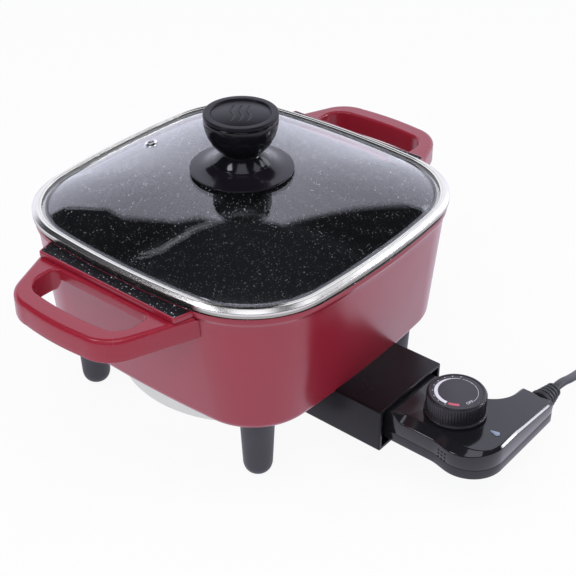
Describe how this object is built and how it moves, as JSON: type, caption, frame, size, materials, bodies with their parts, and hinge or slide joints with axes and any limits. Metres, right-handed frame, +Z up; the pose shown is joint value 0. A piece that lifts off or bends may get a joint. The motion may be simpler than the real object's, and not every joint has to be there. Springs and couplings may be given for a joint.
{
  "type": "electric skillet",
  "caption": "Square electric skillet with a lift-off domed glass lid, side handles, a terminal guard and a plug-in heat control with a dial and a coiled mains cord.",
  "frame": {"origin": "on the table under the middle of the pan, at the centre of the four feet's soles", "axes": "+Z up, +X along the two handles, -Y towards the plug-in heat control"},
  "size_m": [0.381, 0.3852, 0.1955],
  "materials": {
    "red_coat": "glossy red coat outside, black speckled coat inside",
    "red_plastic": "glossy",
    "satin_black": "satin",
    "gloss_black": "glossy",
    "dial_print": "satin with printed marks",
    "steel": "plain",
    "bright_metal": "polished",
    "cast_alloy": "cast",
    "pressed_alloy": "matt",
    "brass": "plain",
    "lid_glass": "clear",
    "ceramic": "unglazed",
    "brown_moulding": "matt",
    "lens": "translucent",
    "black_rubber": "satin",
    "cord_jacket": "satin",
    "tie": "matt"
  },
  "bodies": {
    "skillet": {"pan": "red_coat", "left_handle": "red_plastic", "right_handle": "red_plastic", "handle_screws": "steel", "front_left_foot": "satin_black", "front_right_foot": "satin_black", "back_left_foot": "satin_black", "back_right_foot": "satin_black", "foot_screws": "steel", "heat_spreader": "cast_alloy", "heating_element": "steel", "terminal_pins": "steel", "pin_insulators": "ceramic", "bottom_cover": "pressed_alloy", "cover_screws": "steel", "guard": "satin_black", "guard_screws": "steel"},
    "lid": {"lid_glass": "lid_glass", "lid_rim": "bright_metal", "steam_eyelet": "bright_metal", "knob_shield": "satin_black", "knob_body": "gloss_black", "knob_ring": "satin_black", "knob_cap": "gloss_black", "knob_insert": "brass", "knob_screw": "steel", "knob_washer": "black_rubber"},
    "control": {"control_top": "gloss_black", "control_bottom": "gloss_black", "control_screws": "steel", "sensing_rod": "steel", "contact_clips": "brass", "clip_block": "brown_moulding", "thermostat_base": "ceramic", "bimetal_blade": "steel", "contact_blade": "brass", "contact_points": "steel", "pilot_lens": "lens", "pilot_lamp": "lens", "lead_wires": "cord_jacket", "strain_relief": "black_rubber", "cord": "cord_jacket", "cord_coil": "cord_jacket", "cord_tie": "tie", "plug_body": "cord_jacket", "plug_blades": "brass"},
    "dial": {"dial": "gloss_black", "dial_face": "dial_print", "dial_shaft": "steel"}
  },
  "joints": [
    {"name": "lid_lift", "type": "slide", "parent": "skillet", "child": "lid", "axis": [0, 0, 1], "range_m": [0, 0.15]},
    {"name": "control_pull", "type": "slide", "parent": "skillet", "child": "control", "axis": [0, -1, 0], "range_m": [0, 0.08]},
    {"name": "dial_turn", "type": "hinge", "parent": "control", "child": "dial", "pos_m": [0.004, -0.165, 0.05], "axis": [0, 0, -1], "range_deg": [0, 300]}
  ]
}
